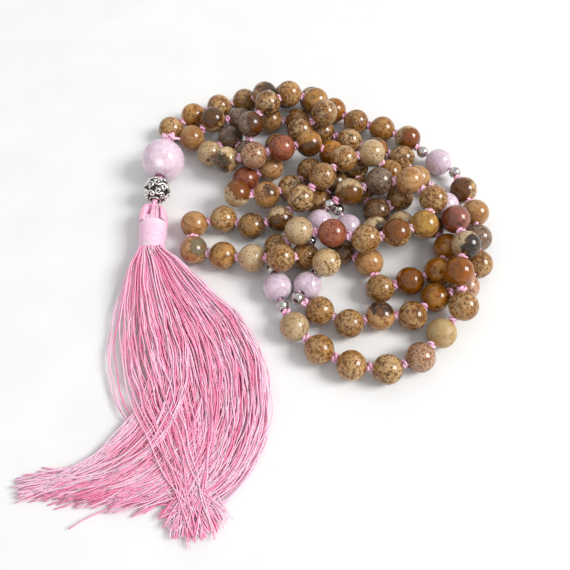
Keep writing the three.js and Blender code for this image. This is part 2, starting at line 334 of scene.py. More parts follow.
class Graph:
    """A material's node tree, written as calls."""

    def __init__(self, name):
        self.material = bpy.data.materials.new(name)
        self.material.use_nodes = True
        self.tree = self.material.node_tree
        self.tree.nodes.clear()
        self.shader = self.tree.nodes.new("ShaderNodeBsdfPrincipled")
        output = self.tree.nodes.new("ShaderNodeOutputMaterial")
        self.tree.links.new(self.shader.outputs["BSDF"], output.inputs["Surface"])

    def put(self, socket, value):
        if isinstance(value, bpy.types.NodeSocket):
            self.tree.links.new(value, socket)
        else:
            socket.default_value = value

    def node(self, kind, settings=(), **inputs):
        made = self.tree.nodes.new("ShaderNode" + kind)
        for key, value in dict(settings).items():
            setattr(made, key, value)
        for key, value in inputs.items():
            self.put(made.inputs[key.replace("_", " ")], value)
        return made

    def attribute(self, name, output="Fac"):
        return self.node("Attribute", {"attribute_name": name}).outputs[output]

    def combine(self, kind, operation, values):
        made = self.node(kind, {"operation": operation})
        for socket, value in zip(made.inputs, values):
            self.put(socket, value)
        return made.outputs[0]

    def math(self, operation, *values):
        return self.combine("Math", operation, values)

    def vector(self, operation, *values):
        return self.combine("VectorMath", operation, values)

    def noise(self, vector, w, scale, detail=2.0, roughness=0.5, distortion=0.0, output="Fac"):
        made = self.node(
            "TexNoise", {"noise_dimensions": "4D"},
            Vector=vector, W=w, Scale=scale, Detail=detail, Roughness=roughness, Distortion=distortion,
        )
        return made.outputs[output]

    def rise(self, value, low, high, top=1.0):
        """From 0 at low to top at high, smoothly; low may be above high."""
        made = self.node("MapRange", {"interpolation_type": "SMOOTHSTEP"})
        ends = {"Value": value, "From Min": low, "From Max": high, "To Min": 0.0, "To Max": top}
        for key, end in ends.items():
            self.put(made.inputs[key], end)
        return made.outputs["Result"]

    def mix(self, factor, a, b):
        made = self.node("Mix", {"data_type": "RGBA"})
        self.put(made.inputs[0], factor)
        self.put(made.inputs[6], a)
        self.put(made.inputs[7], b)
        return made.outputs[2]

    def bump(self, height, strength, distance):
        return self.node("Bump", Strength=strength, Distance=distance, Height=height).outputs["Normal"]

    def finish(self, **inputs):
        for key, value in inputs.items():
            self.put(self.shader.inputs[key.replace("_", " ")], value)
        return self.material


class Look(typing.NamedTuple):
    """A stone's look: a ground of two colours in patches, mottles, dark specks, dark veins and bands."""

    base: tuple
    second: tuple
    mottle: tuple
    speck: tuple
    scale: float  # of the mottles
    cut: float  # the noise value above which mottles show
    specks: float  # the same for specks
    vein: float = 0.0  # half a vein's width
    band: float = 0.0  # how strong the bands are


LOOKS = dict(
    leopard=Look((214, 176, 131), (190, 144, 95), (138, 88, 48), (74, 46, 30), 4.6, 0.49, 0.6),
    sparse=Look((222, 197, 160), (204, 172, 132), (160, 120, 80), (78, 52, 38), 5.0, 0.57, 0.6),
    golden=Look((214, 166, 110), (180, 128, 76), (130, 84, 48), (70, 42, 26), 2.2, 0.56, 0.63, 0.012, 0.35),
    mottled=Look((224, 188, 142), (182, 132, 84), (118, 76, 44), (54, 36, 26), 3.0, 0.51, 0.61, 0.01, 0.15),
    tan=Look((212, 168, 124), (188, 138, 94), (144, 98, 62), (92, 58, 40), 2.6, 0.58, 0.64, 0.004, 0.35),
    red=Look((176, 112, 88), (144, 80, 62), (104, 60, 48), (62, 36, 30), 4.2, 0.56, 0.6, 0.0, 0.1),
    dark=Look((136, 104, 76), (78, 58, 44), (186, 146, 102), (26, 22, 20), 3.0, 0.55, 0.58, 0.014, 0.25),
    cream=Look((238, 213, 176), (218, 184, 140), (144, 98, 54), (56, 42, 34), 2.6, 0.56, 0.59),
    veined=Look((222, 186, 142), (174, 124, 78), (128, 84, 48), (48, 34, 26), 3.2, 0.54, 0.62, 0.03, 0.3),
    grey=Look((164, 138, 116), (126, 100, 84), (88, 68, 58), (54, 42, 38), 5.2, 0.53, 0.55),
    orange=Look((204, 146, 86), (164, 106, 58), (112, 70, 40), (52, 34, 24), 2.2, 0.58, 0.64, 0.01, 0.3),
    fine=Look((222, 182, 150), (198, 148, 116), (150, 98, 70), (86, 54, 42), 7.0, 0.5, 0.58),
    yellow=Look((216, 190, 146), (204, 168, 118), (180, 142, 92), (140, 106, 64), 2.4, 0.58, 0.68),
)
PATCH_RIM = (92, 62, 40)  # the dark line round a patch
SATURATION, LEAST_VALUE, VALUE_SPREAD = 1.12, 0.56, 0.2
POLISHED = 0.13  # roughness of a polished stone
DULL_LOOKS = {"yellow": 0.42}  # the roughness of looks that aren't polished
QUARTZ_IOR = 1.54


def stone_material(name, look):
    """Polished jasper; cap is above 0 in a bead's patch of another colour, which is cap_colour."""
    g = Graph("stone_" + name)
    base, second, mottle, speck = (rgb(*c) for c in (look.base, look.second, look.mottle, look.speck))
    local = g.attribute("local", "Vector")
    seed = g.attribute("seed")

    def other(offset):
        """A seed for another pattern of the same bead."""
        return g.math("ADD", seed, offset)

    warp = g.vector("SUBTRACT", g.noise(local, seed, 1.1, 2.0, output="Color"), (0.5, 0.5, 0.5))
    warped = g.vector("ADD", local, g.vector("MULTIPLY", warp, (0.9, 0.9, 0.9)))

    patches = g.noise(warped, seed, 0.9, 3.0, 0.55, 0.4)
    colour = g.mix(g.rise(patches, 0.42, 0.6), base, second)

    if look.band:
        height = g.node("SeparateXYZ", Vector=warped).outputs["Z"]
        phase = g.math("MULTIPLY", seed, 5.0)
        waves = g.math("SINE", g.math("ADD", g.math("MULTIPLY", height, 15.0), phase))
        bands = g.rise(waves, 0.1, 0.9, look.band)
        colour = g.mix(bands, colour, mottle)

    bent = g.vector("ADD", local, g.vector("MULTIPLY", warp, (0.35, 0.35, 0.35)))
    mottles = g.noise(bent, other(3.7), look.scale, 3.0, 0.56, 0.1)
    density = g.rise(g.noise(local, other(9.1), 1.3, 1.0), 0.3, 0.7, 0.1)
    thinned = g.math("SUBTRACT", g.math("ADD", mottles, density), 0.05)
    colour = g.mix(g.rise(thinned, look.cut, look.cut + 0.07, 0.85), colour, mottle)

    dots = g.noise(local, other(7.7), 1.3 * look.scale + 1.5, 1.5, 0.4)
    colour = g.mix(g.rise(dots, look.cut + 0.08, look.cut + 0.14, 0.7), colour, speck)
    colour = g.mix(g.rise(dots, 0.44, 0.36, 0.5), colour, base)

    edge = g.noise(warped, other(2.2), 1.9, 5.0, 0.66)
    cap = g.math("ADD", g.attribute("cap"), g.math("MULTIPLY", g.math("SUBTRACT", edge, 0.5), 1.3))
    within = g.noise(warped, other(6.2), 2.2, 4.0, 0.6)
    inner = g.mix(g.rise(within, 0.4, 0.66, 0.7), g.attribute("cap_colour", "Color"), mottle)
    colour = g.mix(g.rise(cap, -0.08, 0.02, 0.55), colour, rgb(*PATCH_RIM))
    colour = g.mix(g.rise(cap, 0.0, 0.08), colour, inner)

    specks = g.noise(local, other(5.3), 7.5, 2.0, 0.5)
    colour = g.mix(g.rise(specks, look.specks, look.specks + 0.05, 0.85), colour, speck)

    if look.vein:
        lines = g.noise(warped, other(1.9), 1.25, 2.0, 0.5, 0.9)
        near = g.math("ABSOLUTE", g.math("SUBTRACT", lines, 0.5))
        colour = g.mix(g.rise(near, look.vein, 0.3 * look.vein, 0.85), colour, speck)

    grain = g.noise(local, seed, 17.0, 3.0, 0.6)
    colour = g.mix(g.rise(grain, 0.42, 0.3, 0.3), colour, mottle)
    colour = g.mix(g.rise(grain, 0.56, 0.7, 0.3), colour, base)

    # each bead's own depth of colour, from its seed
    drawn = g.math("FRACT", g.math("MULTIPLY", seed, 7.31))
    value = g.math("ADD", g.math("MULTIPLY", drawn, VALUE_SPREAD), LEAST_VALUE)
    colour = g.node("HueSaturation", Saturation=SATURATION, Value=value, Color=colour).outputs["Color"]
    wear = g.rise(mottles, 0.35, 0.7, 0.08)
    return g.finish(
        Base_Color=colour,
        Roughness=g.math("ADD", wear, DULL_LOOKS.get(name, POLISHED)),
        Normal=g.bump(g.math("ADD", mottles, specks), 0.12, 0.05 * MM),
        IOR=QUARTZ_IOR,
    )


# the colour of the guru's painted highlight
PAINTED_HIGHLIGHT = (255, 252, 253)


def quartz_material(name, pale, deep, veil):
    """Cloudy rose quartz with fine veils; cap is above 0 in a painted highlight: a near-white spot that
    stands for light gathered in the stone.
    """
    g = Graph(name)
    local = g.attribute("local", "Vector")
    seed = g.attribute("seed")
    clouds = g.noise(local, seed, 1.2, 3.0, 0.55, 0.8)
    colour = g.mix(g.rise(clouds, 0.35, 0.68), rgb(*deep), rgb(*pale))
    wisps = g.noise(local, g.math("ADD", seed, 4.0), 2.6, 5.0, 0.6, 1.6)
    near = g.math("ABSOLUTE", g.math("SUBTRACT", wisps, 0.5))
    colour = g.mix(g.rise(near, 0.05, 0.0, 0.5), colour, rgb(*veil))
    # painted highlight: where cap is above 0 the colour turns near white, as light gathered in the stone
    # would look
    colour = g.mix(g.rise(g.attribute("cap"), 0.0, 0.04, 0.75), colour, rgb(*PAINTED_HIGHLIGHT))
    return g.finish(
        Base_Color=colour,
        Roughness=g.rise(clouds, 0.3, 0.75, 0.1),
        Subsurface_Weight=0.75,
        Subsurface_Radius=(0.9, 0.55, 0.65),
        Subsurface_Scale=2.6 * MM,
        Normal=g.bump(wisps, 0.08, 0.05 * MM),
        IOR=QUARTZ_IOR,
    )


def silver_material(name, bright, dull, roughness, scale):
    g = Graph(name)
    local = g.attribute("local", "Vector")
    stains = g.noise(local, g.attribute("seed"), scale, 4.0, 0.6)
    scratches = g.noise(g.vector("MULTIPLY", local, (3.0, 3.0, 26.0)), 0.0, 1.6, 3.0)
    return g.finish(
        Base_Color=g.mix(g.rise(stains, 0.35, 0.7), rgb(*bright), rgb(*dull)),
        Metallic=1.0,
        Roughness=g.math("ADD", g.rise(stains, 0.3, 0.8, 0.18), roughness),
        Normal=g.bump(scratches, 0.15, 0.03 * MM),
    )


def thread_material(name, pale, mid, deep, roughness, twist, sheen, ply, groove_shade_and_depth):
    """Silky thread: UV.x round it, UV.y along it in millimetres; tone sets each thread's colour between mid
    and pale, and in the fringe it also carries painted shade and painted light.
    """
    g = Graph(name)
    uv = g.node("UVMap", {"uv_map": "UVMap"}).outputs["UV"]
    parts = g.node("SeparateXYZ", Vector=uv)
    around, along = parts.outputs["X"], parts.outputs["Y"]
    turns = g.math("ADD", g.math("MULTIPLY", around, 2.0 * math.pi * ply), g.math("MULTIPLY", along, twist))
    strands = g.math("SINE", turns)
    fibres = g.noise(g.vector("MULTIPLY", uv, (9.0, 1.4, 1.0)), 0.0, 2.0, 3.0, 0.6)
    slow = g.noise(g.vector("MULTIPLY", uv, (0.5, 0.12, 1.0)), g.attribute("tone"), 1.0, 2.0, 0.5)
    shade = g.math("ADD", g.math("MULTIPLY", g.attribute("tone"), 0.7), g.math("MULTIPLY", slow, 0.5))
    colour = g.mix(g.rise(shade, 0.2, 0.9), rgb(*mid), rgb(*pale))
    # painted shade: the deep colour darkens stripes round each thread, as shade in the grooves between plies
    # and between the winding's turns
    colour = g.mix(g.rise(strands, 0.0, -1.0, groove_shade_and_depth), colour, rgb(*deep))
    return g.finish(
        Base_Color=colour,
        Roughness=g.math("ADD", g.math("MULTIPLY", fibres, 0.2), roughness),
        Sheen_Weight=sheen,
        Sheen_Roughness=0.4,
        Sheen_Tint=(1.0, 0.86, 0.92, 1.0),
        Subsurface_Weight=0.6,
        Subsurface_Radius=(1.0, 0.45, 0.6),
        Subsurface_Scale=0.5 * MM,
        Normal=g.bump(g.math("ADD", g.math("MULTIPLY", strands, groove_shade_and_depth), fibres), 0.4, 0.04 * MM),
    )


STONE_LOOKS = list(LOOKS)
STONE_MATERIALS = [stone_material(name, LOOKS[name]) for name in STONE_LOOKS]
GURU_QUARTZ = quartz_material("rose_quartz_pale", (226, 204, 217), (206, 181, 198), (240, 225, 234))
MARKER_QUARTZ = quartz_material("rose_quartz_marker", (213, 195, 208), (184, 163, 179), (234, 221, 230))
BRIGHT_SILVER = silver_material("bright_silver", (226, 224, 220), (178, 174, 168), 0.08, 1.4)
WORN_SILVER = silver_material("worn_silver", (252, 250, 247), (206, 203, 198), 0.26, 2.2)
DARK_SILVER = silver_material("oxidised_recess", (84, 80, 78), (40, 37, 36), 0.4, 3.0)
# The third colour of each thread material is its painted shade in the grooves.
KNOT_CORD = thread_material(
    "knot_cord", (248, 204, 224), (238, 172, 204), (208, 122, 166),
    roughness=0.34, twist=5.0, sheen=0.2, ply=2, groove_shade_and_depth=0.4,
)
WRAP_CORD = thread_material(
    "neck_winding", (253, 236, 245), (250, 214, 232), (230, 148, 190),
    roughness=0.26, twist=0.0, sheen=0.2, ply=1, groove_shade_and_depth=0.5,
)
FLOSS = thread_material(
    "tassel_floss", (255, 206, 225), (255, 134, 176), (255, 112, 160),
    roughness=0.34, twist=7.5, sheen=0.15, ply=2, groove_shade_and_depth=0.2,
)


# ------------------------------ stone beads
# One look per bead, in the cord's order.
BEAD_LOOKS = {
    "back": "leopard golden mottled leopard veined golden mottled orange leopard golden cream",
    "right_edge": "veined tan grey leopard fine orange mottled tan leopard leopard",
    "inner_loop": "cream dark tan leopard mottled orange orange dark sparse cream",
    "heart": (
        "leopard dark leopard mottled tan cream red tan mottled mottled veined golden leopard veined grey "
        "grey grey sparse cream fine red golden orange mottled leopard dark leopard golden sparse veined "
        "leopard veined cream dark leopard tan tan golden sparse leopard leopard"
    ),
    "top_layer": "cream grey tan leopard tan mottled leopard red sparse leopard",
    "front_edge": "sparse leopard leopard mottled fine yellow leopard orange cream red",
    "return": "tan mottled dark veined mottled leopard tan grey mottled tan",
}
# A patch of another colour on some beads: how far right and up its middle lies on the bead's near side,
# how much of the bead it covers, and its colour.
PATCHES = {
    ("back", 4): (0.6, 0.1, 0.55, (70, 58, 50)),
    ("back", 5): (-0.1, -0.8, 0.5, (70, 44, 28)),
    ("back", 10): (0.5, -0.2, 0.6, (150, 84, 44)),
    ("right_edge", 0): (-0.6, 0.1, 0.6, (110, 70, 42)),
    ("right_edge", 7): (0.1, 0.75, 0.4, (50, 40, 34)),
    ("inner_loop", 4): (0.2, -0.1, 0.75, (150, 90, 44)),
    ("inner_loop", 9): (0.55, 0.05, 0.3, (66, 62, 60)),
    ("heart", 4): (0.3, 0.3, 0.18, (60, 44, 34)),
    ("heart", 5): (0.35, 0.6, 0.6, (140, 78, 40)),
    ("heart", 14): (0.8, 0.2, 0.6, (120, 70, 38)),
    ("heart", 18): (-0.65, -0.3, 0.45, (64, 52, 38)),
    ("heart", 21): (0.2, -0.8, 0.5, (84, 52, 34)),
    ("heart", 32): (0.0, -0.8, 0.7, (88, 56, 36)),
    ("heart", 33): (-0.5, 0.0, 0.5, (186, 142, 92)),
    ("heart", 36): (0.5, 0.3, 0.3, (130, 122, 98)),
    ("top_layer", 0): (0.1, -0.75, 0.7, (136, 88, 46)),
    ("top_layer", 4): (-0.1, 0.4, 0.7, (222, 176, 104)),
    ("top_layer", 5): (-0.1, 0.55, 0.65, (152, 92, 48)),
    ("front_edge", 7): (0.1, 0.0, 0.8, (170, 104, 54)),
    ("front_edge", 8): (0.6, -0.1, 0.5, (44, 42, 44)),
    ("front_edge", 9): (0.5, 0.2, 0.6, (176, 116, 104)),
    ("return", 2): (0.3, -0.2, 0.5, (160, 108, 64)),
    ("return", 8): (-0.2, 0.4, 0.5, (96, 66, 40)),
}
STONE_VERTS, STONE_FACES = lathe(drilled_profile(BEAD_R, BEAD_BORE, 0.25 * MM, 20), 36)
NO_PATCH = -9.0  # a cap value far below every edge
PAINTED_HIGHLIGHT_EDGE = 0.967  # cosine of the angle from the painted highlight's middle to its edge


def stone_part(bead, number):
    """One stone bead's share of its run's mesh."""
    turn = turned_to(bead["along"], rng.uniform(0, 2 * math.pi))
    local = STONE_VERTS @ turn.T
    unit = local / np.linalg.norm(local, axis=1)[:, None]
    cap = np.full(len(local), NO_PATCH)
    patch_colour = (0.0, 0.0, 0.0, 1.0)
    if (bead["stretch"], number) in PATCHES:
        across, above, share, colour = PATCHES[(bead["stretch"], number)]
        facing = (EYE - bead["at"]).normalized()
        depth = math.sqrt(max(0.0, 1 - across**2 - above**2))
        direction = (facing * depth + VIEW_RIGHT * across + VIEW_UP * above).normalized()
        cap = unit @ np.array(direction) - (1 - share)
        patch_colour = rgb(*colour)
    look = BEAD_LOOKS[bead["stretch"]].split()[number]
    count = len(local)
    return {
        "verts": local + np.array(bead["at"]),
        "faces": STONE_FACES,
        "look": STONE_LOOKS.index(look),
        "attributes": {
            "local": local / BEAD_R,
            "seed": np.full(count, rng.uniform(0, 60)),
            "cap": cap,
            "cap_colour": np.tile(patch_colour, (count, 1)),
        },
    }


def used_only(parts, materials):
    """The parts with their looks renumbered to the materials that they use."""
    used = sorted({part["look"] for part in parts})
    return [{**part, "look": used.index(part["look"])} for part in parts], [materials[i] for i in used]


def make_stones():
    runs, numbers = {}, {}
    for bead in STRAND:
        if bead["kind"] != "stone":
            continue
        number = numbers.get(bead["stretch"], 0)
        numbers[bead["stretch"]] = number + 1
        runs.setdefault(bead["node"], []).append(stone_part(bead, number))
    for node, parts in runs.items():
        parts, materials = used_only(parts, STONE_MATERIALS)
        piece = mesh_piece(node.replace("_beads_", "_stones_"), parts, materials)
        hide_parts(node)
        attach(piece, "strand")


make_stones()


def bored_bead(name, node, centre, axis, radius, bore, lip, material, rings=28, around=48, highlight_toward=None):
    """A bead that turns on its own bore; the last argument, when given, is the direction of a painted
    highlight on it.
    """
    body = node + "_body"
    verts, faces = lathe(drilled_profile(radius, bore, lip, rings), around)
    local = verts @ turned_to(axis).T
    # the painted highlight's mask, above 0 within its edge
    spot = np.full(len(local), NO_PATCH) if highlight_toward is None else (local / radius) @ np.array(highlight_toward) - PAINTED_HIGHLIGHT_EDGE
    part = {
        "verts": local + np.array(centre),
        "faces": faces,
        "attributes": {
            "local": local / radius,
            "seed": np.full(len(local), rng.uniform(0, 60)),
            "cap": spot,
        },
    }
    piece = mesh_piece(name, [part], [material])
    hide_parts(node)
    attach(piece, body)


def make_markers():
    for bead in STRAND:
        node, centre, axis = bead["node"], bead["at"], bead["along"]
        if bead["kind"] == "marker":
            bored_bead("marker_" + node[-1], node, centre, axis,
                       BEAD_R, MARKER_BORE, 0.3 * MM, MARKER_QUARTZ)
        elif bead["kind"] == "spacer":
            bored_bead("spacer_" + node[-2:], node, centre, axis,
                       SPACER_R, MARKER_BORE, 0.15 * MM, BRIGHT_SILVER, rings=16, around=32)


make_markers()
# The guru's painted highlight faces the camera, a little to the left and below its middle.
bored_bead("guru", "guru_bead", GURU, GURU_AXIS,
           GURU_R, WIDE_BORE, 0.4 * MM, GURU_QUARTZ, rings=36, around=60,
           highlight_toward=((EYE - GURU).normalized() - 0.18 * VIEW_RIGHT - 0.12 * VIEW_UP).normalized())


# ------------------------------ cord and knots
KNOT_STEPS = 44
# A knot's line in millimetres: its mean radius, how far it swings in and out, how far it rises
KNOT_R, KNOT_SWING, KNOT_RISE = 0.62, 0.36, 0.4
KNOT_YARN = 0.37  # its yarn's radius


def knot_path(centre, along, size, spin):
    """The path of a small tight knot: a closed line, twice round the cord and three times through itself."""
    turn = turned_to(along, spin)
    points = []
    for i in range(KNOT_STEPS):
        t = 2 * math.pi * i / KNOT_STEPS
        out = KNOT_R + KNOT_SWING * math.cos(3 * t)
        points.append((out * math.cos(2 * t), out * math.sin(2 * t), KNOT_RISE * math.sin(3 * t)))
    return np.array(points) * size * MM @ turn.T + np.array(centre)


def knot_part(centre, along, size=1.0):
    part = tube(knot_path(centre, along, size, rng.uniform(0, 6.28)), KNOT_YARN * size * MM, 7, closed=True)
    return toned(part, rng.uniform(0.2, 1.0))


RADIUS_OF = {"stone": BEAD_R, "marker": BEAD_R, "spacer": SPACER_R}


def make_knots():
    """A knot in each gap that has one, joined into one piece for each stretch."""
    groups = {name: [] for name in STRETCH_NAMES}
    for a, b in zip(STRAND, STRAND[1:]):
        if "marker" in (a["kind"], b["kind"]):
            continue
        between = b["at"] - a["at"]
        share = 0.5 * (between.length + RADIUS_OF[a["kind"]] - RADIUS_OF[b["kind"]]) / between.length
        size = rng.uniform(1.0, 1.14)
        knot = knot_part(a["at"] + between * share, between.normalized(), size)
        groups[a["stretch"] or b["stretch"]].append(knot)
    for stretch, parts in groups.items():
        piece = mesh_piece("knots_" + stretch, parts, [KNOT_CORD])
        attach(piece, "strand")


make_knots()


def make_cord():
    """The stringing cord, through every bead from the guru's top and back to it."""
    points = [KNOT_TOP, *(bead["at"] for bead in STRAND), KNOT_TOP + Vector((1.2, 0.3, 0.2)) * MM]
    curve = bpy.data.curves.new("stringing_cord", "CURVE")
    curve.dimensions = "3D"
    curve.resolution_u = 6
    curve.bevel_depth = CORD_R
    curve.bevel_resolution = 2
    curve.use_fill_caps = True
    spline = curve.splines.new("BEZIER")
    spline.bezier_points.add(len(points) - 1)
    for handle, point in zip(spline.bezier_points, points):
        handle.co = point
        handle.handle_left_type = handle.handle_right_type = "AUTO"
    curve.materials.append(CORD_LINE)
    piece = link_piece("stringing_cord", curve)
    bpy.context.view_layer.update()
    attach(piece, "strand")


def cord_line_material():
    g = Graph("cord_line")
    place = g.node("TexCoord").outputs["Object"]
    fibres = g.noise(g.vector("MULTIPLY", place, (1500.0, 1500.0, 1500.0)), 0.0, 1.0, 3.0, 0.6)
    return g.finish(
        Base_Color=g.mix(g.rise(fibres, 0.3, 0.7), rgb(236, 180, 208), rgb(250, 216, 232)),
        Roughness=g.math("ADD", g.math("MULTIPLY", fibres, 0.2), 0.35),
        Normal=g.bump(fibres, 0.5, 0.05 * MM),
    )


CORD_LINE = cord_line_material()
make_cord()


def make_guru_cord():
    """The knots on the guru's top and the doubled cord from there through both big beads."""
    side = GURU_AXIS.cross(Vector((0, 0, 1))).normalized()
    end = FILIGREE - GURU_AXIS * (FILIGREE_R + 0.2 * MM)
    parts = [
        knot_part(KNOT_TOP, GURU_AXIS, 1.25),
        knot_part(KNOT_TOP + Vector((1.5, 0.5, 0.7)) * MM, side, 1.1),
        knot_part(KNOT_TOP + Vector((-0.9, 0.6, 0.5)) * MM, (side + GURU_AXIS).normalized(), 0.95),
    ]
    for sign in (-1, 1):
        offset = side * (0.45 * MM * sign)
        steps = [KNOT_TOP.lerp(end, i / 24) + offset for i in range(25)]
        parts.append(toned(tube(steps, CORD_R, 7), 0.5))
    piece = mesh_piece("guru_knots", parts, [KNOT_CORD])
    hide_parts("guru_cord_and_knots")
    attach(piece, "strand")


make_guru_cord()


# ------------------------------ filigree bead
def on_ball(centre, turn, radius, lon, lat):
    """Points at longitudes and latitudes on a turned ball."""
    flat = np.stack([np.cos(lat) * np.cos(lon), np.cos(lat) * np.sin(lon), np.sin(lat)], -1)
    return flat * radius @ turn.T + np.array(centre)


SCROLL_COIL = 2.4 * math.pi  # how far round each end goes
SCROLL_EYE = 0.14  # the coil's innermost radius, as a share of its outermost


def scroll(lon0, lat0, size, hand, tilt):
    """An S scroll on a ball, as longitudes and latitudes: a coil at each end of a bent stem."""
    t = np.linspace(0, 1, 30)
    reach = size * (SCROLL_EYE + (1 - SCROLL_EYE) * t)
    x = reach * np.cos(SCROLL_COIL * (1 - t)) - size
    y = reach * np.sin(SCROLL_COIL * (1 - t)) * hand
    half = np.stack([x, y], 1)
    whole = np.concatenate([half, -half[::-1][1:]])
    c, s = math.cos(tilt), math.sin(tilt)
    whole = whole @ np.array([[c, s], [-s, c]])
    lat = lat0 + whole[:, 1]
    return lon0 + whole[:, 0] / np.maximum(np.cos(lat), 0.35), lat


# The scrolls' rows: latitude, how many, their size and how far the row is turned, in scrolls
SCROLL_ROWS = [(0.04, 6, 0.3, 0.0), (0.74, 5, 0.26, 0.5), (-0.68, 5, 0.26, 0.5)]
SCROLL_WIRE = 0.26 * MM
SCROLL_TILT = 0.55
RING_LATITUDE = 1.14  # of the plain ring round each mouth
RING_WIRE = 0.2 * MM
GRAINS, GRAIN_LATITUDE = 20, 0.36  # the small grains between the rows, above and below by turns
GRAIN = [(0.02, -0.26), (0.19, -0.19), (0.27, 0.0), (0.19, 0.19), (0.02, 0.26)]  # profile, millimetres


def make_filigree():
    turn = turned_to(GURU_AXIS, 0.9)
    core_r = 0.93 * FILIGREE_R
    verts, faces = lathe(drilled_profile(core_r, WIDE_BORE, 0.2 * MM, 24), 40)
    parts = [{"verts": verts @ turn.T + np.array(FILIGREE), "faces": faces, "look": 0}]
    for row, (lat0, count, size, shift) in enumerate(SCROLL_ROWS):
        for k in range(count):
            hand = 1 if row % 2 else -1
            lon, lat = scroll(2 * math.pi * (k + shift) / count, lat0, size, hand, SCROLL_TILT * hand)
            path = on_ball(FILIGREE, turn, core_r + 0.5 * SCROLL_WIRE, lon, lat)
            taper = SCROLL_WIRE * (0.8 + 0.35 * np.sin(np.linspace(0, math.pi, len(path))))
            parts.append({**tube(path, taper, 7), "look": 1})
    lon = np.arange(40) * 2 * math.pi / 40
    for lat0 in (RING_LATITUDE, -RING_LATITUDE):
        ring = on_ball(FILIGREE, turn, core_r + 0.08 * MM, lon, np.full(len(lon), lat0))
        parts.append({**tube(ring, RING_WIRE, 7, closed=True), "look": 1})
    grain, grain_faces = lathe(GRAIN, 10)
    for k in range(GRAINS):
        lon = 2 * math.pi * (k + 0.5) / GRAINS
        lat = GRAIN_LATITUDE * (1 if k % 2 else -1)
        spot = on_ball(FILIGREE, turn, core_r + 0.02 * MM, lon, lat)
        parts.append({"verts": grain * MM + spot, "faces": grain_faces, "look": 1})
    for part in parts:
        part.pop("uv", None)
        part["attributes"] = {
            "local": (part["verts"] - np.array(FILIGREE)) / FILIGREE_R,
            "seed": np.full(len(part["verts"]), 7.0),
        }
    piece = mesh_piece("filigree", parts, [DARK_SILVER, WORN_SILVER])
    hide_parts("filigree_bead")
    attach(piece, "filigree_bead_body")


make_filigree()

# ------------------------------ tassel
PIVOT = at(-37.8, 9.4, 5.4)
WRAP_FROM = at(-38, 4.8, 4.4)
WRAP_TO = at(-37.8, -4.6, 4.4)
WRAP_R = 4.1 * MM
TASSEL_DOWN = (WRAP_TO - WRAP_FROM).normalized()
TASSEL_SIDE = Vector((0, 0, 1)).cross(TASSEL_DOWN).normalized()
TASSEL_UP = TASSEL_DOWN.cross(TASSEL_SIDE).normalized()


def in_tassel(side, along, up):
    """A point by the neck: millimetres to the right, down the tassel from the top of the winding, and up."""
    return WRAP_FROM + (TASSEL_SIDE * side + TASSEL_DOWN * along + TASSEL_UP * up) * MM


def smooth_path(points, count):
    """A Catmull-Rom line through points, at even steps."""
    p = np.asarray(points, dtype=float)
    p = np.concatenate([[2 * p[0] - p[1]], p, [2 * p[-1] - p[-2]]])
    fine = []
    for a, b, c, d in zip(p, p[1:], p[2:], p[3:]):
        for t in np.linspace(0, 1, 12, endpoint=False):
            square = (2 * a - 5 * b + 4 * c - d) * t**2
            cube = (3 * b - a - 3 * c + d) * t**3
            fine.append(0.5 * (2 * b + (c - a) * t + square + cube))
    fine.append(p[-2])
    fine = np.array(fine)
    length = np.r_[0, np.cumsum(np.linalg.norm(np.diff(fine, axis=0), axis=1))]
    even = np.linspace(0, length[-1], count)
    return np.stack([np.interp(even, length, fine[:, k]) for k in range(fine.shape[1])], 1)


def make_loop():
    """The cord's loop, out of the filigree bead and round the tassel's threads."""
    along = (FILIGREE - PIVOT).normalized()
    steps = 28
    half_height, half_length = 1.15 * MM, 1.7 * MM
    points = []
    for i in range(steps):
        t = 2 * math.pi * i / steps
        up = TASSEL_UP * (half_height * math.sin(t))
        points.append(PIVOT + up + along * (half_length * math.cos(t)))
    piece = mesh_piece("tassel_loop_cord", [toned(tube(points, CORD_R, 8, closed=True), 0.7)], [KNOT_CORD])
    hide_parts("tassel_loop")
    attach(piece, "tassel_loop_body")


# The head's lobes of folded thread: middle, half width and height, in millimetres
LOBES = [(-1.0, 2.7, 5.2), (2.3, 1.45, 4.2), (0.9, 1.5, 3.6)]
LOBE_LAYERS, LAYER_YARNS, FOLD_STEPS = 5, 13, 16
YARN_R = 0.3 * MM
HEAD_DEPTH = 3.4  # millimetres from the head's middle to its highest yarn
HEAD_ROUND = 4.0  # radius of the round outline that the yarns keep to
ROOT = 1.6  # how far down inside the winding the yarns start


def make_head():
    """Threads folded over the loop: each comes out of the winding, turns over and goes down again."""
    parts = []
    for middle, half, tall in LOBES:
        for layer in range(LOBE_LAYERS):
            for k in range(LAYER_YARNS):
                up = HEAD_DEPTH * math.cos(math.pi * (k + 0.5) / LAYER_YARNS) * (1 - 0.1 * layer)
                bulge = math.sqrt(1 - (up / HEAD_ROUND) ** 2)
                shrink = bulge * (1 - 0.2 * layer) * rng.uniform(0.95, 1.04)
                lean = rng.uniform(-0.3, 0.3)
                points = []
                for i in range(FOLD_STEPS + 1):
                    a = math.pi * i / FOLD_STEPS
                    crown = math.sin(a) ** 0.6
                    x = middle * (1 - 0.15 * crown) + half * shrink * math.cos(a) * (1 + 0.05 * crown)
                    along = ROOT - (tall * (0.5 + 0.5 * bulge) * (1 - 0.1 * layer) + ROOT) * crown
                    points.append(in_tassel(x, along, up * (1 - 0.22 * crown**3) + lean * math.cos(a)))
                yarn = tube(smooth_path(points, 22), YARN_R, 6)
                parts.append(toned(yarn, rng.uniform(0.2, 1.0)))
    piece = mesh_piece("tassel_head_threads", parts, [FLOSS])
    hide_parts("tassel_head")
    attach(piece, "tassel")


TURNS, TURN_STEPS = 13, 40
WINDING_R = 0.31  # half the winding thread's thickness, millimetres
WINDING_TOP = 1.5  # where it starts, down from the neck's top
CORE_R = 3.6


